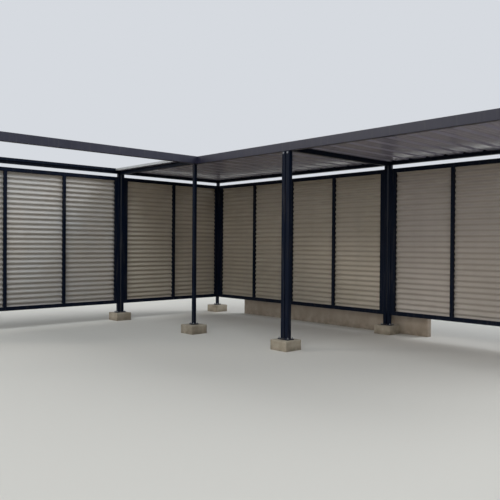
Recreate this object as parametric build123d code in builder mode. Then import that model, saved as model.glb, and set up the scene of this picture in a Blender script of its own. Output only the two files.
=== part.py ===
from build123d import *
import os
from math import cos, pi

# An L-shaped bicycle shelter of three steel modules: one fills the corner, one carries on to
# the right and one comes forward on the left, where the roof sheets are not laid yet.
# Millimetres. X runs along the right wing, Y towards the rear wall, Z up. The origin is on the
# ground under the post in the inside corner of the L.

# Plan, between the lines on which the posts stand
module_length = 4000
wing_depth = 2200
left_wing_depth = 2100
left_beam_offset = 70

# Heights above the ground
block_height = 130
frame_bottom = 286
frame_height = 2187
roof_top = 2618

# Concrete under the posts and behind the rear wall
block_size = 280
block_chamfer = 10
plinth_length = 3960
plinth_thickness = 100
plinth_height = 330
plinth_start = -1460

# Square tube posts: slim ones in the walls, stout ones along the open front
slim_tube = 50
stout_tube = 60
tube_wall = 3
tube_corner = 5
pair_pitch = 70
plate_thickness = 12
plate_margin = 25

# Roof ring and cross beams
beam_width = 60
front_beam_depth = 110
rear_beam_depth = 90
cross_beam_depth = 60
ledge_width = 30
ledge_thickness = 5
sheet_setdown = 5

# Trapezoid roof sheets, ribs running from front to rear
roof_sheet_count = 7
ribs_per_sheet = 4
rib_depth = 35
rib_top = 44
rib_flank = 24
sheet_thickness = 1
sheet_gap = 2
trim_thickness = 2
trim_cover = 60
corner_overhang = 90

# Wall frames of folded channel, open to the back
field_margin = 135
left_field_margin = 112
side_field_margin = 70
divider_width = 50
rail_width = 60
frame_depth = 30
channel_wall = 3

# Corrugated wall sheets on the backs of the frames
wave_pitch = 77
wave_depth = 18
wave_steps = 8
cladding_thickness = 1
cladding_margin = 10
cladding_base = 3

# Places that follow from the plan
corner_x = -left_wing_depth
joint_x = corner_x + module_length
right_end_x = joint_x + module_length
rear_y = wing_depth
left_end_y = -module_length
half_pair = pair_pitch / 2
half_beam = beam_width / 2
half_frame = frame_depth / 2
post_foot = block_height + plate_thickness
front_beam_bottom = roof_top - front_beam_depth
rear_beam_bottom = roof_top - rear_beam_depth
sheet_underside = roof_top - sheet_setdown - sheet_thickness - rib_depth
pair_reach = half_pair + slim_tube / 2

os.makedirs("parts", exist_ok=True)


def save(part, name):
    part.label = name
    export_step(part, f"parts/{name}.step")


# Section of a square or box tube: rolled corners outside, a plain square bore
def tube_section(width, depth):
    RectangleRounded(width, depth, tube_corner)
    Rectangle(width - 2 * tube_wall, depth - 2 * tube_wall, mode=Mode.SUBTRACT)


# Cast concrete footing blocks, with a chamfer round the top
def footing(name, x, y):
    with BuildPart() as block:
        with BuildSketch(Plane.XY):
            with Locations((x, y)):
                Rectangle(block_size, block_size)
        extrude(amount=block_height)
        chamfer(block.faces().sort_by(Axis.Z)[-1].edges(), block_chamfer)
    save(block.part, "footing_" + name)


# A post is one tube, or the two tubes of neighbouring modules, welded on one base plate
def post(name, x, y, tube, top, along=None):
    spread_x = half_pair if along == "x" else 0
    spread_y = half_pair if along == "y" else 0
    centres = [(x, y)]
    if along:
        centres = [(x - spread_x, y - spread_y), (x + spread_x, y + spread_y)]
    foot = tube + 2 * plate_margin
    with BuildPart() as tubes:
        with BuildSketch(Plane.XY.offset(block_height)):
            with Locations((x, y)):
                Rectangle(foot + 2 * spread_x, foot + 2 * spread_y)
        extrude(amount=plate_thickness)
        with BuildSketch(Plane.XY.offset(post_foot)):
            with Locations(centres):
                tube_section(tube, tube)
        extrude(amount=top - post_foot)
    save(tubes.part, "post_" + name)


end_right = right_end_x - half_pair
end_left = left_end_y + half_pair
stations = [
    ("inner_corner", 0, 0, slim_tube, front_beam_bottom, None),
    ("rear_corner", corner_x, rear_y, slim_tube, rear_beam_bottom, None),
    ("left_joint", corner_x, 0, slim_tube, rear_beam_bottom, "y"),
    ("front_joint", joint_x, 0, stout_tube, front_beam_bottom, "x"),
    ("rear_joint", joint_x, rear_y, slim_tube, rear_beam_bottom, "x"),
    ("right_end_front", end_right, 0, stout_tube, front_beam_bottom, None),
    ("right_end_rear", end_right, rear_y, slim_tube, rear_beam_bottom, None),
    ("left_end_front", left_beam_offset, end_left, stout_tube, front_beam_bottom, None),
    ("left_end_rear", corner_x, end_left, slim_tube, rear_beam_bottom, None),
]
for name, x, y, tube, top, along in stations:
    footing(name, x, y)
    post(name, x, y, tube, top, along)


# A roof beam is a box tube drawn on a plane across its start. Welded to it are a ledge for the
# roof sheets, which runs along the inner face on the side that the sign gives and stops short
# of the beams that meet it, and a cap in an end that nothing butts against.
def beam(name, across, length, centre, depth, top, ledge=None, cap_at=None):
    middle = (centre, top - depth / 2)
    with BuildPart() as tube:
        with BuildSketch(across):
            with Locations(middle):
                tube_section(beam_width, depth)
        extrude(amount=length)
        if ledge:
            side, ledge_start, ledge_end = ledge
            edge = (centre + side * half_beam, sheet_underside)
            inward = Align.MIN if side > 0 else Align.MAX
            with BuildSketch(across.offset(ledge_start)):
                with Locations(edge):
                    Rectangle(ledge_width, ledge_thickness, align=(inward, Align.MAX))
            extrude(amount=ledge_end - ledge_start)
        if cap_at is not None:
            with BuildSketch(across.offset(cap_at)):
                with Locations(middle):
                    RectangleRounded(beam_width, depth, tube_corner)
            extrude(amount=tube_wall)
    save(tube.part, name)


def beam_along_x(name, start, end, y, depth, top, ledge=None, capped=None):
    if ledge:
        side, first, last = ledge
        ledge = (side, first - start, last - start)
    cap_at = {None: None, "start": 0, "end": end - start - tube_wall}[capped]
    beam(name, Plane.YZ.offset(start), end - start, y, depth, top, ledge, cap_at)


def beam_along_y(name, start, end, x, depth, top, ledge=None, capped=None):
    if ledge:
        side, first, last = ledge
        ledge = (side, end - last, end - first)
    cap_at = {None: None, "start": end - start - tube_wall, "end": 0}[capped]
    beam(name, Plane.XZ.offset(-end), end - start, x, depth, top, ledge, cap_at)


# The ring of edge beams: the rear and the front run through, the others butt against them
front_inner = half_beam
rear_inner = rear_y - half_beam
corner_outer = corner_x - half_beam
corner_inner = corner_x + half_beam
end_inner = right_end_x - beam_width
left_end_inner = left_end_y + beam_width
left_front_inner = left_beam_offset - half_beam
joint_left = joint_x - half_beam
joint_right = joint_x + half_beam
end_beam_x = right_end_x - half_beam
left_end_beam_y = left_end_y + half_beam

beam_along_x("beam_rear_middle", corner_outer, joint_x, rear_y, rear_beam_depth, roof_top,
             (-1, corner_inner, joint_left), "start")
beam_along_x("beam_rear_right", joint_x, right_end_x, rear_y, rear_beam_depth, roof_top,
             (-1, joint_right, end_inner), "end")
beam_along_x("beam_front_middle", -half_beam, joint_x, 0, front_beam_depth, roof_top,
             (1, -half_beam, joint_left), "start")
beam_along_x("beam_front_right", joint_x, right_end_x, 0, front_beam_depth, roof_top,
             (1, joint_right, end_inner), "end")
beam_along_y("beam_right_end", front_inner, rear_inner, end_beam_x, front_beam_depth, roof_top)
beam_along_y("beam_corner_side", 0, rear_inner, corner_x, rear_beam_depth, roof_top)
beam_along_y("beam_left_rear", left_end_y, 0, corner_x, rear_beam_depth, roof_top,
             (1, left_end_inner, -half_beam), "start")
beam_along_y("beam_left_front", left_end_y, -half_beam, left_beam_offset, front_beam_depth,
             roof_top, (-1, left_end_inner, -half_beam), "start")
beam_along_x("beam_left_end", corner_inner, left_front_inner, left_end_beam_y,
             front_beam_depth, roof_top)

# Cross beams lie lower, so that the sheets pass over them
beam_along_x("cross_beam_corner", corner_inner, -half_beam, 0, cross_beam_depth, sheet_underside)
beam_along_y("cross_beam_joint", front_inner, rear_inner, joint_x, cross_beam_depth, sheet_underside)


# Roof sheets of trapezoid section. Those in the corner reach forward past the cross beam, and
# the one that also meets the front beam is notched round its end.
roof_left = corner_inner
roof_right = end_inner
sheet_cover = (roof_right - roof_left) / roof_sheet_count
rib_pitch = sheet_cover / ribs_per_sheet
half_pan = (rib_pitch - rib_top - 2 * rib_flank) / 2
trim_front = -half_beam - corner_overhang
corner_sheet_front = trim_front + trim_thickness + sheet_gap / 2
corner_sheet_end = left_front_inner - sheet_gap
sheet_front = front_inner + sheet_gap
sheet_rear = rear_inner - sheet_gap


def rib_outline(x0, z0):
    points = [(x0 + sheet_gap / 2, z0)]
    for rib in range(ribs_per_sheet):
        left = x0 + rib * rib_pitch + half_pan
        points.append((left, z0))
        points.append((left + rib_flank, z0 + rib_depth))
        points.append((left + rib_flank + rib_top, z0 + rib_depth))
        points.append((left + 2 * rib_flank + rib_top, z0))
    points.append((x0 + sheet_cover - sheet_gap / 2, z0))
    return points


for number in range(roof_sheet_count):
    left = roof_left + number * sheet_cover
    in_corner = left < -half_beam
    front = corner_sheet_front if in_corner else sheet_front
    lower = rib_outline(left, sheet_underside)
    upper = [(x, z + sheet_thickness) for x, z in reversed(lower)]
    with BuildPart() as sheet:
        with BuildSketch(Plane.XZ.offset(-sheet_rear)):
            with BuildLine():
                Polyline(lower + upper, close=True)
            make_face()
        extrude(amount=sheet_rear - front)
        if in_corner and left + sheet_cover > -half_beam:
            with BuildSketch(Plane.XY.offset(sheet_underside - sheet_gap)):
                with Locations((-half_beam - sheet_gap, -sheet_front)):
                    Rectangle(sheet_cover, 2 * sheet_front, align=(Align.MIN, Align.MIN))
                with Locations((corner_sheet_end, front - sheet_gap)):
                    Rectangle(sheet_cover, sheet_front - front, align=(Align.MIN, Align.MIN))
            extrude(amount=rib_depth + 2 * sheet_gap + sheet_thickness, mode=Mode.SUBTRACT)
    save(sheet.part, f"roof_sheet_{number + 1}")

# A folded edge trim closes the sheet ends in the corner, between the two beams of the left wing
rib_crest = sheet_underside + rib_depth + sheet_thickness
trim_length = left_front_inner - corner_inner
with BuildPart() as trim:
    with BuildSketch(Plane.YZ.offset(corner_inner)):
        with Locations((trim_front, sheet_underside)):
            Rectangle(trim_thickness, rib_crest - sheet_underside, align=(Align.MIN, Align.MIN))
        with Locations((trim_front, rib_crest)):
            Rectangle(trim_cover, trim_thickness, align=(Align.MIN, Align.MIN))
    extrude(amount=trim_length)
save(trim.part, "roof_edge_trim")


# A wall frame stands between two posts: rails, end stiles and dividers of folded channel, with
# equal fields. It is drawn on a plane whose normal points to the back of the wall.
def wall_frame(name, plane, span, start_margin, end_margin, fields):
    clear = span - start_margin - end_margin - (fields - 1) * divider_width
    field_width = clear / fields
    field_height = frame_height - 2 * rail_width
    centres = []
    for field in range(fields):
        centre = start_margin + field_width / 2 + field * (field_width + divider_width)
        centres.append((centre, frame_height / 2))
    with BuildPart() as frame:
        with BuildSketch(plane):
            Rectangle(span, frame_height, align=(Align.MIN, Align.MIN))
            with Locations(centres):
                Rectangle(field_width, field_height, mode=Mode.SUBTRACT)
        extrude(amount=frame_depth)
        with BuildSketch(plane.offset(channel_wall)):
            with Locations((span / 2, frame_height / 2)):
                Rectangle(span - 2 * channel_wall, frame_height - 2 * channel_wall)
            with Locations(centres):
                Rectangle(field_width + 2 * channel_wall, field_height + 2 * channel_wall,
                          mode=Mode.SUBTRACT)
        extrude(amount=frame_depth - channel_wall, mode=Mode.SUBTRACT)
    save(frame.part, "wall_frame_" + name)


# One wall's cladding is a corrugated sheet with level waves, from the frame's back outwards.
# Its edges lie in the hollow of a wave, away from the frame.
def cladding(name, plane, span):
    waves = int((frame_height - cladding_base) // wave_pitch)
    front = []
    for step in range(waves * wave_steps + 1):
        depth = wave_depth / 2 * (1 + cos(2 * pi * step / wave_steps))
        front.append((depth, cladding_base + step * wave_pitch / wave_steps))
    back = [(depth + cladding_thickness, height) for depth, height in reversed(front)]
    with BuildPart() as sheet:
        with BuildSketch(plane):
            with BuildLine():
                Polyline(front + back, close=True)
            make_face()
        extrude(amount=span - 2 * cladding_margin)
    save(sheet.part, "cladding_" + name)


def rear_wall(name, start, end, start_margin, end_margin, fields):
    face = rear_y - half_frame
    facing = Plane(origin=(end, face, frame_bottom), x_dir=(-1, 0, 0), z_dir=(0, 1, 0))
    wall_frame(name, facing, end - start, end_margin, start_margin, fields)
    back = (start + cladding_margin, face + frame_depth, frame_bottom)
    cladding(name, Plane(origin=back, x_dir=(0, 1, 0), z_dir=(1, 0, 0)), end - start)


def side_wall(name, start, end, start_margin, end_margin, fields):
    face = corner_x + half_frame
    facing = Plane(origin=(face, end, frame_bottom), x_dir=(0, -1, 0), z_dir=(-1, 0, 0))
    wall_frame(name, facing, end - start, end_margin, start_margin, fields)
    back = (face - frame_depth, start + cladding_margin, frame_bottom)
    cladding(name, Plane(origin=back, x_dir=(-1, 0, 0), z_dir=(0, 1, 0)), end - start)


# Walls run from post face to post face. Fields start at one distance from each line of posts,
# and a little nearer to it in the left wall.
slim_half = slim_tube / 2
joint_margin = field_margin - pair_reach
post_margin = field_margin - slim_half
end_post_margin = field_margin - half_pair - slim_half
left_margin = left_field_margin - pair_reach
rear_wall("rear_middle", corner_x + slim_half, joint_x - pair_reach, post_margin, joint_margin, 4)
rear_wall("rear_right", joint_x + pair_reach, end_right - slim_half, joint_margin, end_post_margin, 4)
side_wall("corner_side", pair_reach, rear_y - slim_half, joint_margin, side_field_margin - slim_half, 2)
side_wall("left", end_left + slim_half, -pair_reach, left_margin, left_margin, 4)

# Low cast plinth wall behind the rear walls, against the block of the joint post
with BuildPart() as plinth:
    with BuildSketch(Plane.XY):
        with Locations((plinth_start, rear_y + block_size / 2)):
            Rectangle(plinth_length, plinth_thickness, align=(Align.MIN, Align.MIN))
    extrude(amount=plinth_height)
    chamfer(plinth.faces().sort_by(Axis.Z)[-1].edges(), block_chamfer)
save(plinth.part, "rear_plinth_wall")
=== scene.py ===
import bmesh
import bpy
from math import cos, pi, radians
from mathutils import Matrix, Vector, noise


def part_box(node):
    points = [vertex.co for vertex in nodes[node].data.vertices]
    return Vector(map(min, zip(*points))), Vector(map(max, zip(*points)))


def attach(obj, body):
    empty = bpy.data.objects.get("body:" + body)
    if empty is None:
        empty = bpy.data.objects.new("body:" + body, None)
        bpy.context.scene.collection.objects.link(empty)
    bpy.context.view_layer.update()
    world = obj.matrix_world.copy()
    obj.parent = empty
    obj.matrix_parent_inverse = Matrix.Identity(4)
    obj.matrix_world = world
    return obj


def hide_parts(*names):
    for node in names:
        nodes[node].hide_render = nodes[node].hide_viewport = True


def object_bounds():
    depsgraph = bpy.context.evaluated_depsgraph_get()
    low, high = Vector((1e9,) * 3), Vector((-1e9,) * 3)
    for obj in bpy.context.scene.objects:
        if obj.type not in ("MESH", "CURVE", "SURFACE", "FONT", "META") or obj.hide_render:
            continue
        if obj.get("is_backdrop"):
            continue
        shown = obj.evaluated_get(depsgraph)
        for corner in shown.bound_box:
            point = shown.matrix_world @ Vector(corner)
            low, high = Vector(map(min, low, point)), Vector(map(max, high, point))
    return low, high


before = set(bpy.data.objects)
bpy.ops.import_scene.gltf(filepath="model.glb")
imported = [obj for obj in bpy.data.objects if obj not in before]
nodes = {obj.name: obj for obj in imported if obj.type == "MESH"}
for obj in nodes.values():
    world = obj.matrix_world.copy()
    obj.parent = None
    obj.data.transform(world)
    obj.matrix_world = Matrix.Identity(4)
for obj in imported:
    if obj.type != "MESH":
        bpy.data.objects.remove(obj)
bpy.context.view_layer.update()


# Footing blocks: precast concrete, one under each post. They come out of a steel mould, so the
# faces are smooth with small pores, and the edges are chamfered and a little chipped. Damp has
# stained each one's foot.
block_chamfer = 0.009
chamfer_steps = 2
block_cuts = (9, 9, 5)
bed_height = 0.01
shortest_cut_edge = 0.05
straightness = 0.99
unevenness = 0.0007
uneven_scale = 30
chip_depth = 0.007
chip_scale = 26
chip_start = 0.22
block_seed_step = 3.7
block_seed = (1.3, 0.4)
touching = 0.001
sharp_turn = radians(32)
block_pale = (171, 160, 142)
block_dark = (144, 133, 116)
block_stain = (108, 96, 80)
block_stain_height = 0.07
sand_share = 0.16
run_share = 0.25
foot_share = 0.8
pore_share = 0.55
sand_depth = 0.3


def paint(colour):
    """A colour given as red, green and blue from 0 to 255, as the shaders want it."""
    linear = [(c / 255 + 0.055) ** 2.4 / 1.055 ** 2.4 if c > 10 else c / 255 / 12.92 for c in colour]
    return (*linear, 1.0)


def add_node(tree, kind, inputs=None, **settings):
    """One node of a finish, with its settings, and with its inputs set or linked."""
    node = tree.nodes.new("ShaderNode" + kind)
    for key, value in settings.items():
        setattr(node, key, value)
    for key, value in (inputs or {}).items():
        if isinstance(value, bpy.types.NodeSocket):
            tree.links.new(value, node.inputs[key])
        else:
            node.inputs[key].default_value = value
    return node


def start_finish(name, roughness, metallic=0.0):
    """A new finish, with its shader and the place on the piece that its patterns follow."""
    finish = bpy.data.materials.new(name)
    finish.use_nodes = True
    tree = finish.node_tree
    shader = tree.nodes["Principled BSDF"]
    shader.inputs["Roughness"].default_value = roughness
    shader.inputs["Metallic"].default_value = metallic
    place = add_node(tree, "TexCoord").outputs["Object"]
    return finish, tree, shader, place


def cloud(tree, place, scale, low, high, detail=3.0, stretch=None):
    """Soft patches from 0 to 1, or streaks where the pattern is stretched."""
    if stretch:
        place = add_node(tree, "Mapping", {"Vector": place, "Scale": stretch}).outputs[0]
    patches = add_node(tree, "TexNoise", {"Vector": place, "Scale": scale, "Detail": detail})
    limits = {"Value": patches.outputs[0], "From Min": low, "From Max": high}
    return add_node(tree, "MapRange", limits).outputs[0]


def over(tree, share, under, upper):
    """One colour laid over another, by a share from 0 to 1."""
    return add_node(tree, "Mix", {0: share, 6: under, 7: upper}, data_type="RGBA").outputs[2]


def times(tree, first, second):
    """Two shares multiplied."""
    return add_node(tree, "Math", {0: first, 1: second}, operation="MULTIPLY").outputs[0]


def part_of(tree, value, first=0.0, last=1.0, start=0.0, end=1.0):
    """How far a value is on its way between two limits, on a scale from start to end."""
    limits = {"Value": value, "From Min": first, "From Max": last, "To Min": start, "To Max": end}
    return add_node(tree, "MapRange", limits).outputs[0]


def relief(tree, shader, height, strength, distance):
    """Fine relief on the surface, from a height pattern."""
    bump = add_node(tree, "Bump", {"Height": height, "Strength": strength, "Distance": distance})
    tree.links.new(bump.outputs[0], shader.inputs["Normal"])


def concrete_finish(name, pale, dark, stain, stain_height):
    """Cast concrete: sand, stones and pores show in it, with rain runs and a stained foot."""
    finish, tree, shader, place = start_finish(name, roughness=0.9)
    height = add_node(tree, "SeparateXYZ", {0: place}).outputs[2]
    sand = cloud(tree, place, scale=220.0, low=0.3, high=0.7, detail=2.0)
    stones = cloud(tree, place, scale=7.0, low=0.38, high=0.66, detail=5.0)
    runs = cloud(tree, place, scale=2.0, low=0.5, high=0.75, stretch=(4.0, 4.0, 0.8))
    colour = over(tree, stones, paint(pale), paint(dark))
    colour = over(tree, times(tree, sand, sand_share), colour, paint(stain))
    colour = over(tree, times(tree, runs, run_share), colour, paint(stain))
    damp = cloud(tree, place, scale=11.0, low=0.3, high=0.6)
    foot = times(tree, part_of(tree, height, first=stain_height, last=0.0), damp)
    colour = over(tree, times(tree, foot, foot_share), colour, paint(stain))
    bubbles = add_node(tree, "TexVoronoi", {"Vector": place, "Scale": 85.0}, feature="F1")
    hole = part_of(tree, bubbles.outputs["Distance"], first=0.22, last=0.12)
    open_pores = times(tree, hole, cloud(tree, place, scale=30.0, low=0.5, high=0.56))
    colour = over(tree, times(tree, open_pores, pore_share), colour, paint(stain))
    tree.links.new(colour, shader.inputs["Base Color"])
    grains = times(tree, sand, sand_depth)
    surface = add_node(tree, "Math", {0: grains, 1: open_pores}, operation="SUBTRACT")
    relief(tree, shader, surface.outputs[0], strength=0.5, distance=0.002)
    return finish


def cast_shape(low, high, cuts, seed):
    """A cast block with chamfered edges, small unevenness and a few chips."""
    middle = (low + high) / 2
    shape = bmesh.new()
    bmesh.ops.create_cube(shape, size=1)
    bmesh.ops.scale(shape, vec=high - low, verts=shape.verts)
    bmesh.ops.translate(shape, vec=middle, verts=shape.verts)
    worn = [edge for edge in shape.edges if max(v.co.z for v in edge.verts) > low.z + bed_height]
    bmesh.ops.bevel(shape, geom=worn, offset=block_chamfer, segments=chamfer_steps, profile=0.5,
                    affect="EDGES", material=-1)
    for axis, count in enumerate(cuts):
        runs = []
        for edge in shape.edges:
            run = edge.verts[0].co - edge.verts[1].co
            if abs(run[axis]) > max(shortest_cut_edge, straightness * run.length):
                runs.append(edge)
        bmesh.ops.subdivide_edges(shape, edges=runs, cuts=count)
    for vert in shape.verts:
        faces_near = sum(min(vert.co[axis] - low[axis], high[axis] - vert.co[axis]) < block_chamfer
                         for axis in range(3))
        sunk = unevenness * (1 + noise.noise(vert.co * uneven_scale + seed))
        if faces_near > 1:
            sunk += max(0.0, noise.noise(vert.co * chip_scale - seed) - chip_start) * chip_depth
        inward = (middle - vert.co).normalized() * sunk
        if vert.co.z < low.z + touching:
            inward.z = 0
        vert.co += inward
    return shape


def set_piece(name, shape, finishes, slot, *stands_for):
    """A finished mesh becomes a piece of the shelter, in place, shaded round its soft turns."""
    for face in shape.faces:
        face.smooth = True
    for edge in shape.edges:
        edge.smooth = edge.calc_face_angle(0) < sharp_turn
    mesh = bpy.data.meshes.new(name)
    shape.to_mesh(mesh)
    shape.free()
    for finish in finishes:
        mesh.materials.append(finish)
    piece = bpy.data.objects.new(name, mesh)
    bpy.context.scene.collection.objects.link(piece)
    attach(piece, "root")
    if stands_for:
        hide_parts(*stands_for)
    return piece


block_concrete = concrete_finish("block_concrete", block_pale, block_dark, block_stain,
                                 block_stain_height)
footings = sorted(name for name in nodes if name.startswith("footing_"))
for number, footing in enumerate(footings):
    low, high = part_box(footing)
    block = cast_shape(low, high, block_cuts, Vector((number * block_seed_step, *block_seed)))
    set_piece("cast_" + footing, block, [block_concrete], "concrete", footing)


# Plinth wall: a low wall of cast concrete behind the rear walls. It was poured between smooth
# boards, so its faces are even, with small pores, and rain and dirt have darkened its foot.
plinth_cuts = (60, 3, 8)
plinth_seed = Vector((8.1, 4.2, 2.0))
plinth_pale = (167, 153, 137)
plinth_dark = (156, 142, 126)
plinth_stain = (120, 106, 90)
plinth_stain_height = 0.16

plinth_concrete = concrete_finish("plinth_concrete", plinth_pale, plinth_dark, plinth_stain,
                                  plinth_stain_height)
low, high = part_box("rear_plinth_wall")
plinth = cast_shape(low, high, plinth_cuts, plinth_seed)
set_piece("cast_plinth_wall", plinth, [plinth_concrete], "concrete", "rear_plinth_wall")


# Posts: square steel tube welded on base plates, powder coated in a very dark blue grey. The
# coat is satin with a fine orange peel, and dust lies on the plates and flat tops.
coat_colour = (4, 14, 31)
coat_worn = (8, 18, 36)
coat_dust = (128, 120, 108)
coat_shine = 0.1
coat_smoother = 0.05
coat_rougher = 0.09
coat_streaks = 0.1


def facing_up(tree):
    """How far the surface faces up, from -1 to 1."""
    normal = add_node(tree, "NewGeometry").outputs["Normal"]
    return add_node(tree, "SeparateXYZ", {0: normal}).outputs[2]


def coat_finish(name, colour, worn, roughness, dust_share, shine=coat_shine):
    """A powder coat with an orange peel, worn patches, faint streaks and dust on its flats."""
    finish, tree, shader, place = start_finish(name, roughness)
    shader.inputs["Specular IOR Level"].default_value = shine
    patches = cloud(tree, place, scale=1.7, low=0.35, high=0.7, detail=4.0)
    colour = over(tree, patches, paint(colour), paint(worn))
    settled = cloud(tree, place, scale=9.0, low=0.3, high=0.62)
    flat = times(tree, part_of(tree, facing_up(tree), first=0.5, last=0.95), settled)
    colour = over(tree, times(tree, flat, dust_share), colour, paint(coat_dust))
    streaks = cloud(tree, place, scale=4.0, low=0.54, high=0.76, stretch=(7.0, 7.0, 0.5))
    colour = over(tree, times(tree, streaks, coat_streaks), colour, paint(coat_dust))
    tree.links.new(colour, shader.inputs["Base Color"])
    handled = cloud(tree, place, scale=6.0, low=0.3, high=0.7, detail=5.0)
    satin = part_of(tree, handled, start=roughness - coat_smoother, end=roughness + coat_rougher)
    tree.links.new(satin, shader.inputs["Roughness"])
    peel = cloud(tree, place, scale=420.0, low=0.2, high=0.8, detail=1.0)
    relief(tree, shader, peel, strength=0.12, distance=0.0006)
    return finish


def dress(node, finish):
    """A node whose shape is right keeps it, and takes a finish."""
    mesh = nodes[node].data
    mesh.materials.clear()
    mesh.materials.append(finish)


post_coat = coat_finish("post_powder_coat", coat_colour, coat_worn, roughness=0.36, dust_share=0.5)
posts = sorted(name for name in nodes if name.startswith("post_"))
for post in posts:
    dress(post, post_coat)


# Welds and anchors at the feet: a fillet weld runs round each tube on its plate, coated with
# the post. A zinc plated anchor with nut and washer stands in each corner of the plate.
stout_posts = {"post_front_joint", "post_right_end_front", "post_left_end_front"}
stout_tube = 0.060
slim_tube = 0.050
plate_thickness = 0.012
plate_margin = 0.025
weld_leg = 0.005
weld_gap = 0.001
weld_cuts = 14
weld_ripple = 0.0006
ripple_scale = 260
tube_corner = 0.005
corner_steps = 3
anchor_inset = 0.0135
washer_radius = 0.0100
washer_thickness = 0.002
nut_radius = 0.0095
nut_height = 0.008
nut_chamfer = 0.0012
stud_radius = 0.0050
stud_height = 0.009
stud_chamfer = 0.0010
nut_pattern = (31, 17, 0.5)
zinc_colour = (146, 149, 154)
zinc_shade = 0.7
zinc_dull_share = 0.5


def weld_collar(x, y, z, tube):
    """The fillet weld round one square tube: a low sloping collar with a rippled face."""
    shape = bmesh.new()
    bmesh.ops.create_cube(shape, size=1)
    reach = tube + 2 * weld_leg
    bmesh.ops.scale(shape, vec=(reach, reach, weld_leg), verts=shape.verts)
    upright = [edge for edge in shape.edges if edge.verts[0].co.z * edge.verts[1].co.z < 0]
    bmesh.ops.bevel(shape, geom=upright, offset=tube_corner + weld_leg, segments=corner_steps,
                    profile=0.5, affect="EDGES", material=-1)
    top = [vert for vert in shape.verts if vert.co.z > 0]
    narrow = (tube + weld_gap) / reach
    bmesh.ops.scale(shape, vec=(narrow, narrow, 1), verts=top)
    long_edges = [edge for edge in shape.edges if edge.calc_length() > tube / 2]
    bmesh.ops.subdivide_edges(shape, edges=long_edges, cuts=weld_cuts)
    bmesh.ops.translate(shape, vec=(x, y, z + weld_leg / 2), verts=shape.verts)
    for vert in shape.verts:
        if vert.co.z > z + touching:
            vert.co.z += weld_ripple * noise.noise(vert.co * ripple_scale)
    return shape


def joined(shapes):
    """Several shapes as one mesh."""
    whole = bmesh.new()
    for shape in shapes:
        part = bpy.data.meshes.new("part")
        shape.to_mesh(part)
        shape.free()
        whole.from_mesh(part)
        bpy.data.meshes.remove(part)
    return whole


def stamped(single, seats):
    """The same small part at many seats, as one mesh."""
    pattern = bpy.data.meshes.new("pattern")
    single.to_mesh(pattern)
    single.free()
    whole = bmesh.new()
    for seat in seats:
        part = pattern.copy()
        part.transform(seat)
        whole.from_mesh(part)
        bpy.data.meshes.remove(part)
    bpy.data.meshes.remove(pattern)
    return whole


def turned_disc(shape, radius, start, length, sides, chamfer=0.0, finish=0):
    """A disc, nut or stud along its own axis, with its far rim chamfered."""
    seat = Matrix.Translation((0, 0, start + length / 2))
    made = bmesh.ops.create_cone(shape, cap_ends=True, segments=sides, radius1=radius,
                                 radius2=radius, depth=length, matrix=seat)
    for face in {face for vert in made["verts"] for face in vert.link_faces}:
        face.material_index = finish
    if chamfer:
        rim = {vert for vert in made["verts"] if vert.co.z > start + length / 2}
        edges = {edge for vert in rim for edge in vert.link_edges if set(edge.verts) <= rim}
        bmesh.ops.bevel(shape, geom=list(edges), offset=chamfer, segments=1, profile=0.5,
                        affect="EDGES", material=-1)


def nut_turn(x, y):
    """How far round a nut was left when it was tight, which differs from nut to nut."""
    across, along, row = nut_pattern
    return Matrix.Rotation(noise.noise(Vector((x * across, y * along, row))) * pi, 4, "Z")


def shaded(colour, share):
    """A darker tone of a colour."""
    return [c * share for c in colour]


def zinc_finish(name, colour):
    """Zinc plating: bright metal with a fine dull grain."""
    finish, tree, shader, place = start_finish(name, roughness=0.4, metallic=0.85)
    dull = cloud(tree, place, scale=160.0, low=0.35, high=0.65)
    dulled = times(tree, dull, zinc_dull_share)
    tone = over(tree, dulled, paint(colour), paint(shaded(colour, zinc_shade)))
    tree.links.new(tone, shader.inputs["Base Color"])
    tree.links.new(part_of(tree, dull, start=0.34, end=0.55), shader.inputs["Roughness"])
    relief(tree, shader, dull, strength=0.2, distance=0.0004)
    return finish


zinc = zinc_finish("zinc_plating", zinc_colour)
for post in posts:
    low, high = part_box(post)
    tube = stout_tube if post in stout_posts else slim_tube
    foot = low.z + plate_thickness
    middle = (low + high) / 2
    spread = (high - low - Vector((tube, tube, 0))) / 2 - Vector((plate_margin, plate_margin, 0))
    places = {(middle.x - spread.x, middle.y - spread.y), (middle.x + spread.x, middle.y + spread.y)}
    if max(spread.x, spread.y) < touching:
        places = {(middle.x, middle.y)}
    welds = joined(weld_collar(x, y, foot, tube) for x, y in sorted(places))
    set_piece(post.replace("post_", "foot_weld_"), welds, [post_coat], "post")
    anchor = bmesh.new()
    nut_top = washer_thickness + nut_height
    turned_disc(anchor, washer_radius, 0, washer_thickness, sides=16)
    turned_disc(anchor, nut_radius, washer_thickness, nut_height, sides=6, chamfer=nut_chamfer)
    turned_disc(anchor, stud_radius, nut_top, stud_height, sides=10, chamfer=stud_chamfer)
    seats = []
    for x in (low.x + anchor_inset, high.x - anchor_inset):
        for y in (low.y + anchor_inset, high.y - anchor_inset):
            seats.append(Matrix.Translation((x, y, foot)) @ nut_turn(x, y))
    set_piece(post.replace("post_", "anchors_"), stamped(anchor, seats), [zinc], "post")


# Roof beams: box tube welded to a ring in each module, in the same powder coat as the posts.
# The front ones are deeper, with a glossier coat whose colour is painted lighter and bluer as
# painted sky light. Bolts through the heads of the stout posts hold them, and their bright heads
# show on the open side.
# the front beams' colour is a lighter, bluer copy of the posts' coat: painted sky light
sky_lit_ring_colour = (33, 33, 50)
sky_lit_ring_worn = (40, 40, 57)
ring_shine = 0.45
front_beams = ("beam_front_middle", "beam_front_right", "beam_left_front")
pair_pitch = 0.070
head_bolt_height = 2.487
head_washer_radius = 0.0140
head_radius = 0.0105
head_height = 0.0075
head_chamfer = 0.0014
quarter_turn = radians(90)

# the front beams' coat is painted lighter and bluer: painted sky light
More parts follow.
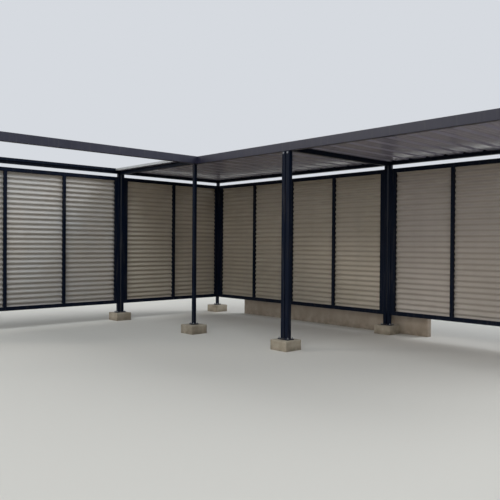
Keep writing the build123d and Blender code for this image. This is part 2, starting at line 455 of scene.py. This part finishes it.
sky_lit_ring_coat = coat_finish("sky_lit_ring_powder_coat", sky_lit_ring_colour, sky_lit_ring_worn, roughness=0.34,
                        dust_share=0.4, shine=ring_shine)
beam_coat = coat_finish("beam_powder_coat", coat_colour, coat_worn, roughness=0.36, dust_share=0.4)
for beam in sorted(name for name in nodes if "beam_" in name):
    dress(beam, sky_lit_ring_coat if beam in front_beams else beam_coat)

head_bolts = []
for post in sorted(stout_posts):
    low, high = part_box(post)
    middle = (low + high) / 2
    if post == "post_left_end_front":
        seat = Matrix.Translation((middle.x + stout_tube / 2, middle.y, head_bolt_height))
        head_bolts.append(seat @ Matrix.Rotation(quarter_turn, 4, "Y"))
        continue
    offsets = (-pair_pitch / 2, pair_pitch / 2) if "joint" in post else (0,)
    for offset in offsets:
        seat = Matrix.Translation((middle.x + offset, middle.y - stout_tube / 2, head_bolt_height))
        head_bolts.append(seat @ Matrix.Rotation(quarter_turn, 4, "X"))
bolt = bmesh.new()
turned_disc(bolt, head_washer_radius, 0, washer_thickness, sides=20)
turned_disc(bolt, head_radius, washer_thickness, head_height, sides=6, chamfer=head_chamfer)
set_piece("post_head_bolts", stamped(bolt, head_bolts), [zinc], "post")


# Wall frames: channel folded from 3 mm sheet, open to the back, with rounded folds. Rails and
# stiles make a rectangle that stands between two posts, and dividers part it into equal fields.
fold_radius = 0.0022
fold_steps = 2
fold_angle = radians(60)
merge_distance = 0.00002


def eased(node, radius):
    """A node's own shape, with its long edges rounded as folding leaves them."""
    shape = bmesh.new()
    shape.from_mesh(nodes[node].data)
    bmesh.ops.remove_doubles(shape, verts=shape.verts, dist=merge_distance)
    folds = [edge for edge in shape.edges if edge.calc_face_angle(0) > fold_angle and edge.is_convex]
    bmesh.ops.bevel(shape, geom=folds, offset=radius, segments=fold_steps, profile=0.5,
                    affect="EDGES", material=-1, clamp_overlap=True)
    return shape


def even_shading(piece):
    """Flat faces stay evenly shaded beside their rounded folds."""
    shading = piece.modifiers.new("even_shading", "WEIGHTED_NORMAL")
    shading.keep_sharp = True
    shading.weight = 100


frame_coat = coat_finish("frame_powder_coat", coat_colour, coat_worn, roughness=0.38,
                         dust_share=0.45)
for wall in sorted(name for name in nodes if name.startswith("wall_frame_")):
    piece = set_piece(wall.replace("wall_", "folded_"), eased(wall, fold_radius), [frame_coat],
                      "wall_frame", wall)
    even_shading(piece)


# Wall cladding: coil coated steel sheet rolled to level sine waves, in two widths that lap at mid
# height, screwed to the frames' backs. Dark strips cut to the wave stand behind the uprights as
# painted shade in the hollows there. It is dark outside and pale inside, greyer on the left wall,
# which rain rinses, and painted warmer in the corner as painted warm bounce light. The undersides
# of its waves are darkened with painted shade and soil.
wave_pitch = 0.077
wave_depth = 0.018
wave_count = 28
wave_steps = 14
length_steps = 40
sheet_gauge = 0.0008
lap_wave = 15.12
lap_end_wave = 16.0
lap_spring_waves = 2
lap_opening = 0.0032
inner_colour = (182, 173, 164)
inner_dark = (174, 165, 155)
rinsed_colour = (178, 174, 169)
# a warmer copy of the inner coat for the corner and middle walls: painted warm bounce light
warm_lit_colour = (182, 172, 157)
warm_lit_dark = (174, 164, 148)
# the colour of the dust, and of the painted shade and soil under the waves
inner_dust_and_shade = (120, 115, 108)
# how far the undersides of the waves are darkened: painted shade and soil
usual_shade_and_soil = 0.3
rinsed_shade_and_soil = 0.05
outer_colour = (62, 70, 82)
outer_worn = (72, 79, 90)
sheet_smoother = 0.04
sheet_rougher = 0.08
# For each wall, the widths of its first and last margin, and its number of fields
walls = {
    "rear_middle": (0.110, 0.075, 4),
    "rear_right": (0.075, 0.075, 4),
    "corner_side": (0.075, 0.045, 2),
    "left": (0.052, 0.052, 4),
}
divider_width = 0.050
screw_waves = (1.5, 4.5, 7.5, 10.5, 13.5, 15.5, 18.5, 21.5, 24.5, 27.5)
round_sides = 12
seal_radius = 0.0072
seal_thickness = 0.0012
screw_washer = 0.0080
screw_washer_thickness = 0.0010
screw_head = 0.0042
screw_head_height = 0.0046
screw_chamfer = 0.0008
rubber_dark = (34, 34, 36)
rubber_pale = (48, 47, 46)
upright_wall = 0.003
# dark strips behind the uprights stand for the shade in the wave hollows there: painted shade
shade_strip_thickness = 0.0024
shade_strip_press = 0.0004
shade_strip_steps = 8
shade_strip_dark = (13, 14, 17)
shade_strip_pale = (24, 25, 28)


def sheet_finish(name, colour, dark, dust_and_shade, roughness, streak_share, top_dust=0.0, under_shade_and_soil=0.0):
    """A coil coating: dust lies on what faces up, and what faces down gets painted shade and soil.
    """
    finish, tree, shader, place = start_finish(name, roughness)
    patches = cloud(tree, place, scale=1.1, low=0.35, high=0.7, detail=4.0)
    colour = over(tree, patches, paint(colour), paint(dark))
    streaks = cloud(tree, place, scale=1.2, low=0.5, high=0.8, detail=2.0, stretch=(3.0, 3.0, 0.3))
    colour = over(tree, times(tree, streaks, streak_share), colour, paint(dust_and_shade))
    facing = facing_up(tree)
    settled = cloud(tree, place, scale=14.0, low=0.3, high=0.6)
    ledge = times(tree, part_of(tree, facing, first=0.35, last=0.75), settled)
    colour = over(tree, times(tree, ledge, top_dust), colour, paint(dust_and_shade))
    # what faces down is darkened towards the dust colour: painted shade and soil
    shade_and_soil = times(tree, part_of(tree, facing, first=-0.2, last=-0.5), under_shade_and_soil)
    colour = over(tree, shade_and_soil, colour, paint(dust_and_shade))
    tree.links.new(colour, shader.inputs["Base Color"])
    gloss = cloud(tree, place, scale=4.0, low=0.3, high=0.7, detail=4.0)
    satin = part_of(tree, gloss, start=roughness - sheet_smoother, end=roughness + sheet_rougher)
    tree.links.new(satin, shader.inputs["Roughness"])
    ripple = cloud(tree, place, scale=2.6, low=0.2, high=0.8, detail=0.0)
    relief(tree, shader, ripple, strength=0.1, distance=0.002)
    return finish


def backing_coat(name, colour, dark, shade_and_soil):
    """The pale inner coat, with more or less painted shade and soil under its waves."""
    return sheet_finish(name, colour, dark, inner_dust_and_shade, roughness=0.42, streak_share=0.15,
                        under_shade_and_soil=shade_and_soil)


def soft_finish(name, dark, pale, roughness, grain_scale):
    """Rubber, and the dark strips of painted shade: dark with a fine grain. The grain is given back
    too, for a relief.
    """
    finish, tree, shader, place = start_finish(name, roughness)
    grain = cloud(tree, place, scale=grain_scale, low=0.3, high=0.7)
    tree.links.new(over(tree, grain, paint(dark), paint(pale)), shader.inputs["Base Color"])
    return finish, tree, shader, grain


def from_frame(wave):
    """How far the sheet stands off the frame at some place along its waves."""
    return wave_depth / 2 * (1 + cos(2 * pi * wave))


def wave_shade_strip(seat, along):
    """A dark strip on edge behind an upright, painted shade in the wave's hollows: flat on the
    frame, and cut to the sheet's wave.
    """
    shape = bmesh.new()
    bmesh.ops.create_grid(shape, x_segments=1, y_segments=wave_count * shade_strip_steps, size=0.5)
    for vert in shape.verts:
        wave = (vert.co.y + 0.5) * wave_count
        away = from_frame(wave) + shade_strip_press if vert.co.x > 0 else -shade_strip_press
        vert.co = Vector((along, away, wave * wave_pitch))
    bmesh.ops.transform(shape, matrix=seat, verts=shape.verts)
    return shape


def sealed_screw():
    """A sheet screw's head, on its steel washer and rubber seal."""
    screw = bmesh.new()
    washer_top = seal_thickness + screw_washer_thickness
    turned_disc(screw, seal_radius, 0, seal_thickness, round_sides, finish=1)
    turned_disc(screw, screw_washer, seal_thickness, screw_washer_thickness, round_sides)
    turned_disc(screw, screw_head, washer_top, screw_head_height, sides=6, chamfer=screw_chamfer)
    return screw


def wave_sheet(seat, length, first_wave, last_wave, open_from=None):
    """One corrugated sheet: its face looks to the inside, and its waves go up the wall."""
    shape = bmesh.new()
    rows = round((last_wave - first_wave) * wave_steps)
    bmesh.ops.create_grid(shape, x_segments=length_steps, y_segments=rows, size=0.5)
    for vert in shape.verts:
        wave = first_wave + (vert.co.y + 0.5) * (last_wave - first_wave)
        along = (vert.co.x + 0.5) * length
        away = from_frame(wave)
        if open_from and wave > open_from:
            away += lap_opening * (wave - open_from) / (last_wave - open_from)
        vert.co = Vector((along, away, wave * wave_pitch))
    bmesh.ops.transform(shape, matrix=seat, verts=shape.verts)
    return shape


def give_gauge(piece, thickness, back_finish=0):
    """An open sheet gets its thickness behind its face, and the finish of its back."""
    gauge = piece.modifiers.new("gauge", "SOLIDIFY")
    gauge.thickness = thickness
    gauge.offset = -1
    gauge.material_offset = back_finish


inner_coat = backing_coat("wall_backing_coat", inner_colour, inner_dark, usual_shade_and_soil)
rinsed_coat = backing_coat("rinsed_backing_coat", rinsed_colour, inner_dark, rinsed_shade_and_soil)
# the corner's warmer coat is painted warm bounce light
warm_lit_coat = backing_coat("warm_lit_backing_coat", warm_lit_colour, warm_lit_dark, usual_shade_and_soil)
inner_coats = {"rear_middle": warm_lit_coat, "corner_side": warm_lit_coat, "rear_right": inner_coat,
               "left": rinsed_coat}
outer_coat = sheet_finish("wall_top_coat", outer_colour, outer_worn, inner_dust_and_shade, roughness=0.34,
                          streak_share=0.12, top_dust=0.25)
rubber = soft_finish("screw_seal_rubber", rubber_dark, rubber_pale, roughness=0.7,
                     grain_scale=90.0)[0]
# the dark strips' finish: painted shade in the hollows beside the uprights
shade_strip_finish, tree, shader, strip_grain = soft_finish("painted_shade_strip", shade_strip_dark, shade_strip_pale, roughness=0.85,
                                        grain_scale=700.0)
relief(tree, shader, strip_grain, strength=0.3, distance=0.0005)
for wall, (start_margin, end_margin, fields) in walls.items():
    low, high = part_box("cladding_" + wall)
    frame_low, frame_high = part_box("wall_frame_" + wall)
    if wall.startswith("rear"):
        seat = Matrix.Translation((low.x, low.y, low.z))
        length, overhang, span = high.x - low.x, low.x - frame_low.x, frame_high.x - frame_low.x
    else:
        seat = Matrix.Translation((high.x, low.y, low.z)) @ Matrix.Rotation(quarter_turn, 4, "Z")
        length, overhang, span = high.y - low.y, low.y - frame_low.y, frame_high.y - frame_low.y
    lower = wave_sheet(seat, length, 0.0, lap_end_wave, open_from=lap_wave - lap_spring_waves)
    upper = wave_sheet(seat, length, lap_wave, float(wave_count))
    piece = set_piece("waved_sheets_" + wall, joined((lower, upper)),
                      [inner_coats[wall], outer_coat], "wall_sheet", "cladding_" + wall)
    give_gauge(piece, sheet_gauge, back_finish=1)
    field = (span - start_margin - end_margin - (fields - 1) * divider_width) / fields
    edges = []
    for number in range(fields):
        edge = start_margin + number * (field + divider_width)
        edges += [edge - upright_wall / 2, edge + field + upright_wall / 2]
    # dark strips along each upright: painted shade in the wave hollows
    strips = joined(wave_shade_strip(seat, edge - overhang) for edge in edges)
    shade_strip_piece = set_piece("wave_shade_strips_" + wall, strips, [shade_strip_finish], "wall_frame")
    width = shade_strip_piece.modifiers.new("width", "SOLIDIFY")
    width.thickness = shade_strip_thickness
    width.offset = 0
    lines = [start_margin / 2, span - end_margin / 2]
    for divider in range(1, fields):
        lines.append(start_margin + divider * field + (divider - 0.5) * divider_width)
    seats = []
    for along in lines:
        for wave in screw_waves:
            place = Matrix.Translation((along - overhang, sheet_gauge, wave * wave_pitch))
            seats.append(seat @ place @ Matrix.Rotation(-quarter_turn, 4, "X"))
    set_piece("wall_screws_" + wall, stamped(sealed_screw(), seats), [zinc, rubber], "wall_sheet")


# Roof sheets: trapezoid sheet of the same coil coated steel, laid on the ledges from front to
# rear. Each laps over the next one at its side. The one at the inside corner is notched round
# the end of the front beam. Screws hold the pans to the ledges.
rib_count = 4
rib_top = 0.044
rib_flank = 0.024
rib_depth = 0.035
roof_gauge = 0.0008
roof_bend = 0.0035
bend_steps = 3
side_gap = 0.001
side_lap = 0.028
lap_start = 0.004
lap_step = 0.0014
swage_places = (1 / 3, 2 / 3)
swage_width = 0.012
swage_height = 0.0025
notch_x = -0.032
notch_y = 0.032
corner_end = 0.038
screw_inset = 0.016
beam_clearance = 0.02
# the underside's coat is tinted blue-purple, unlike the same coat on the walls: painted sky
# reflection
sky_tinted_under_colour = (176, 178, 205)
sky_tinted_under_dark = (164, 166, 193)
top_colour = (58, 66, 78)
top_worn = (69, 75, 86)


def folded_strip(points, run, bend):
    """Sheet bent along straight lines: the outline is drawn out, then its bends are rounded."""
    shape = bmesh.new()
    chain = [shape.verts.new(point) for point in points]
    sides = [shape.edges.new(pair) for pair in zip(chain, chain[1:])]
    drawn = bmesh.ops.extrude_edge_only(shape, edges=sides)["geom"]
    moved = [item for item in drawn if isinstance(item, bmesh.types.BMVert)]
    bmesh.ops.translate(shape, vec=run, verts=moved)
    bends = [edge for edge in shape.edges if len(edge.link_faces) == 2]
    bmesh.ops.bevel(shape, geom=bends, offset=bend, segments=bend_steps, profile=0.5,
                    affect="EDGES", material=-1, clamp_overlap=True)
    return shape


def sheet_outline(low, high, pitch, last):
    """The sheet's end seen from the front: pans with stiffening swages, ribs, and a side lap."""
    half_pan = (pitch - rib_top - 2 * rib_flank) / 2
    points = [(low.x, low.z)]
    for rib in range(rib_count):
        left = low.x - side_gap + rib * pitch + half_pan
        right = left + 2 * rib_flank + rib_top
        points += [(left, low.z), (left + rib_flank, low.z + rib_depth),
                   (right - rib_flank, low.z + rib_depth), (right, low.z)]
        if rib < rib_count - 1:
            for swage in swage_places:
                centre = right + swage * 2 * half_pan
                points += [(centre - swage_width, low.z), (centre, low.z + swage_height),
                           (centre + swage_width, low.z)]
    if last:
        points.append((high.x, low.z))
    else:
        points += [(high.x - lap_start, low.z), (high.x - side_gap, low.z + lap_step),
                   (high.x + side_lap, low.z + lap_step)]
    return [(x, low.y, z) for x, z in points]


def notch(shape):
    """The inside corner cut out of a sheet, and a slot for the end of the front beam."""
    for point, normal in (((notch_x, 0, 0), (1, 0, 0)), ((corner_end, 0, 0), (1, 0, 0)),
                          ((0, -notch_y, 0), (0, 1, 0)), ((0, notch_y, 0), (0, 1, 0))):
        geometry = shape.verts[:] + shape.edges[:] + shape.faces[:]
        bmesh.ops.bisect_plane(shape, geom=geometry, plane_co=point, plane_no=normal)
    cut = []
    for face in shape.faces:
        centre = face.calc_center_median()
        beside_beam = centre.x > notch_x and abs(centre.y) < notch_y
        if beside_beam or (centre.x > corner_end and centre.y < notch_y):
            cut.append(face)
    bmesh.ops.delete(shape, geom=cut, context="FACES")


def face_towards(shape, direction):
    """All faces of an open sheet turned so that its main face looks one way."""
    shape.normal_update()
    if sum(face.normal.dot(direction) * face.calc_area() for face in shape.faces) < 0:
        bmesh.ops.reverse_faces(shape, faces=shape.faces)


# the roof's underside colour carries painted sky reflection
sky_tinted_under_coat = sheet_finish("sky_tinted_roof_backing_coat", sky_tinted_under_colour, sky_tinted_under_dark, inner_dust_and_shade,
                          roughness=0.16, streak_share=0.12)
top_coat = sheet_finish("roof_top_coat", top_colour, top_worn, coat_dust, roughness=0.36,
                        streak_share=0.25, top_dust=0.16)
roof_sheets = sorted(name for name in nodes if name.startswith("roof_sheet_"))
for sheet in roof_sheets:
    low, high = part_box(sheet)
    pitch = (high.x - low.x + 2 * side_gap) / rib_count
    outline = sheet_outline(low, high, pitch, last=sheet == roof_sheets[-1])
    shape = folded_strip(outline, (0, high.y - low.y, 0), roof_bend)
    if low.x < notch_x < high.x:
        notch(shape)
    face_towards(shape, Vector((0, 0, -1)))
    piece = set_piece(sheet.replace("sheet", "panel"), shape, [sky_tinted_under_coat, top_coat],
                      "roof_sheet", sheet)
    give_gauge(piece, roof_gauge, back_finish=1)
    even_shading(piece)
    seats = []
    for rib in range(rib_count):
        centre = low.x + (rib + 0.5) * pitch
        beside = rib_top / 2 + rib_flank + screw_inset
        for x in (centre - beside, centre + beside):
            front = 0.0 if x < notch_x - beam_clearance else notch_y + screw_inset
            for y in (front, high.y - screw_inset):
                seats.append(Matrix.Translation((x, y, low.z + roof_gauge)))
    set_piece(sheet.replace("sheet", "screws"), stamped(sealed_screw(), seats), [zinc, rubber],
              "roof_sheet")


# Edge trim in the corner: galvanised sheet folded to an angle and left bright. Its face closes
# the front ends of the corner's roof sheets, and its flange lies on their crests, with a small
# hem along the rear edge.
trim_gauge = 0.0012
trim_hem = 0.008
trim_bend = 0.0025
galvanised_colour = (186, 189, 190)
spangle_shade = 0.78
spangle_share = 0.35
dull_shade = 0.82
dull_share = 0.4


def galvanised_finish(name, colour):
    """Galvanised steel: crystals of different brightness, with duller patches over them."""
    finish, tree, shader, place = start_finish(name, roughness=0.45, metallic=0.6)
    crystals = add_node(tree, "TexVoronoi", {"Vector": place, "Scale": 110.0}, feature="F1")
    tone = add_node(tree, "SeparateColor", {0: crystals.outputs["Color"]}).outputs[0]
    dark_crystals = paint(shaded(colour, spangle_shade))
    spangle = over(tree, times(tree, tone, spangle_share), paint(colour), dark_crystals)
    dull = cloud(tree, place, scale=5.0, low=0.4, high=0.7, detail=4.0)
    dull_tone = paint(shaded(colour, dull_shade))
    spangle = over(tree, times(tree, dull, dull_share), spangle, dull_tone)
    tree.links.new(spangle, shader.inputs["Base Color"])
    tree.links.new(part_of(tree, tone, start=0.38, end=0.52), shader.inputs["Roughness"])
    return finish


galvanised = galvanised_finish("galvanised_steel", galvanised_colour)
low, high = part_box("roof_edge_trim")
profile = [(low.x, low.y, low.z), (low.x, low.y, high.z), (low.x, high.y, high.z),
           (low.x, high.y, high.z - trim_hem)]
shape = folded_strip(profile, (high.x - low.x, 0, 0), trim_bend)
face_towards(shape, Vector((0, -1, 1)))
trim = set_piece("folded_edge_trim", shape, [galvanised], "edge_trim", "roof_edge_trim")
give_gauge(trim, trim_gauge)
even_shading(trim)


# Floor, background and soft light. The floor and what shows behind it are plain and pale. The sky
# is brightest at the horizon and weaker on the open side, four lamps with soft edges model the
# shapes, and the floor gives back less light towards the corner.
floor_reach = 150
floor_colour = (214, 208, 199)
floor_shine = 0.1
corner_bounce = (112, 95, 68)
open_bounce = (178, 165, 148)
bounce_span = (-0.5, 4.5)
backdrop_colour = (214, 218, 224)
sky_colour = (0.82, 0.91, 1.0, 1.0)
horizon_strength = 2.8
zenith_strength = 0.35
horizon_rise = 0.25
open_side_start = 0.0
open_side_glow = 0.5
# For each lamp, its strength, its width in degrees, its colour, and where it shines from
lamps = {
    "high_lamp": (1.2, 40, (0.86, 0.94, 1.0), (0.5, -0.6, 1.0)),
    "rear_lamp": (1.8, 40, (0.9, 0.95, 1.0), (0.5, 0.8, 0.65)),
    "front_lamp": (0.55, 14, (1.0, 0.94, 0.86), (-0.75, -0.9, 0.5)),
    "low_lamp": (0.5, 40, (1.0, 0.93, 0.83), (0.45, -0.9, 0.07)),
}


def shown_rays(tree):
    """One for what is seen, straight or in a reflection, and nought for the light that bounces."""
    rays = add_node(tree, "LightPath").outputs
    seen = add_node(tree, "Math", {0: rays["Is Camera Ray"], 1: rays["Is Glossy Ray"]},
                    operation="MAXIMUM").outputs[0]
    return add_node(tree, "Math", {0: seen, 1: rays["Is Transmission Ray"]},
                    operation="MAXIMUM").outputs[0]


floor_mesh = bpy.data.meshes.new("floor")
shape = bmesh.new()
bmesh.ops.create_grid(shape, x_segments=1, y_segments=1, size=floor_reach)
shape.to_mesh(floor_mesh)
shape.free()
floor = bpy.data.objects.new("floor", floor_mesh)
floor_paint, tree, shader, place = start_finish("floor_paint", roughness=0.9)
along = add_node(tree, "SeparateXYZ", {0: place}).outputs[0]
bounce = over(tree, part_of(tree, along, *bounce_span), paint(corner_bounce), paint(open_bounce))
shown = over(tree, shown_rays(tree), bounce, paint(floor_colour))
tree.links.new(shown, shader.inputs["Base Color"])
shader.inputs["Specular IOR Level"].default_value = floor_shine
floor_mesh.materials.append(floor_paint)
bpy.context.scene.collection.objects.link(floor)
floor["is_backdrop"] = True

world = bpy.data.worlds.new("sky")
world.use_nodes = True
tree = world.node_tree
ambient = tree.nodes["Background"]
ambient.inputs["Color"].default_value = sky_colour
towards = add_node(tree, "SeparateXYZ", {0: add_node(tree, "TexCoord").outputs["Generated"]}).outputs
glow = part_of(tree, towards[2], last=horizon_rise, start=horizon_strength, end=zenith_strength)
side_share = part_of(tree, towards[0], first=open_side_start, start=1.0, end=open_side_glow)
tree.links.new(times(tree, glow, side_share), ambient.inputs["Strength"])
backdrop = add_node(tree, "Background", {"Color": paint(backdrop_colour), "Strength": 1.0})
mixed = add_node(tree, "MixShader", {0: shown_rays(tree), 1: ambient.outputs[0],
                                     2: backdrop.outputs[0]})
tree.links.new(mixed.outputs[0], tree.nodes["World Output"].inputs["Surface"])
bpy.context.scene.world = world

for name, (strength, width, colour, direction) in lamps.items():
    lamp_data = bpy.data.lights.new(name, "SUN")
    lamp_data.energy = strength
    lamp_data.angle = radians(width)
    lamp_data.color = colour
    lamp = bpy.data.objects.new(name, lamp_data)
    lamp.rotation_mode = "QUATERNION"
    lamp.rotation_quaternion = Vector(direction).to_track_quat("Z", "Y")
    bpy.context.scene.collection.objects.link(lamp)
bpy.context.scene.view_settings.view_transform = "Standard"


# Camera, at the photograph's place, heading and angle, in degrees. They were worked out from post
# feet, beam ends and the corners of the wall frames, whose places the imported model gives.
lens = 44.56
film_width = 36
view_depth = 500
eye = Vector((7.3318, -5.649, 1.3339))
heading = 47.247
tilt = -0.5591
roll = 0.4299

camera_data = bpy.data.cameras.new("camera")
camera_data.lens = lens
camera_data.sensor_width = film_width
camera_data.clip_end = view_depth
camera = bpy.data.objects.new("camera", camera_data)
camera.matrix_world = (Matrix.Translation(eye) @ Matrix.Rotation(radians(heading), 4, "Z")
                       @ Matrix.Rotation(radians(90 + tilt), 4, "X")
                       @ Matrix.Rotation(radians(roll), 4, "Z"))
bpy.context.scene.collection.objects.link(camera)
bpy.context.scene.camera = camera

low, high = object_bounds()
